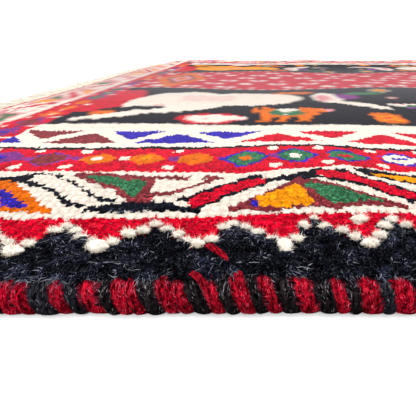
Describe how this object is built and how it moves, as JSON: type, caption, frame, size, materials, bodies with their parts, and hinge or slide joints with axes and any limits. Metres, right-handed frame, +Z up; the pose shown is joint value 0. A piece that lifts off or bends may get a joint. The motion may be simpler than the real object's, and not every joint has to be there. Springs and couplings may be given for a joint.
{
  "type": "hand-knotted shiraz rug",
  "caption": "Small hand-knotted wool pile rug lying flat, with overcast long sides, flat-woven end strips and short fringe.",
  "frame": {"origin": "on the floor under the middle of the rug's outline, fringe included", "axes": "+X along the warps, from the left fringe to the right one; +Y across the rug, away from the near long side; +Z up out of the pile"},
  "size_m": [1.3146, 0.8018, 0.0116],
  "materials": {
    "wool_pile": "matte cut wool pile in crimson, navy-black, ivory, maroon, orange, amber, green and blue",
    "overcast_wool": "thick matte wool yarn, wraps of crimson and of charcoal in turn",
    "warp_wool": "matte undyed ivory wool, plain woven and left as fringe"
  },
  "bodies": {
    "root": {"rug_body": "wool_pile", "selvedge_near": "overcast_wool", "selvedge_far": "overcast_wool", "fringe_left": "warp_wool", "fringe_right": "warp_wool"}
  },
  "joints": []
}
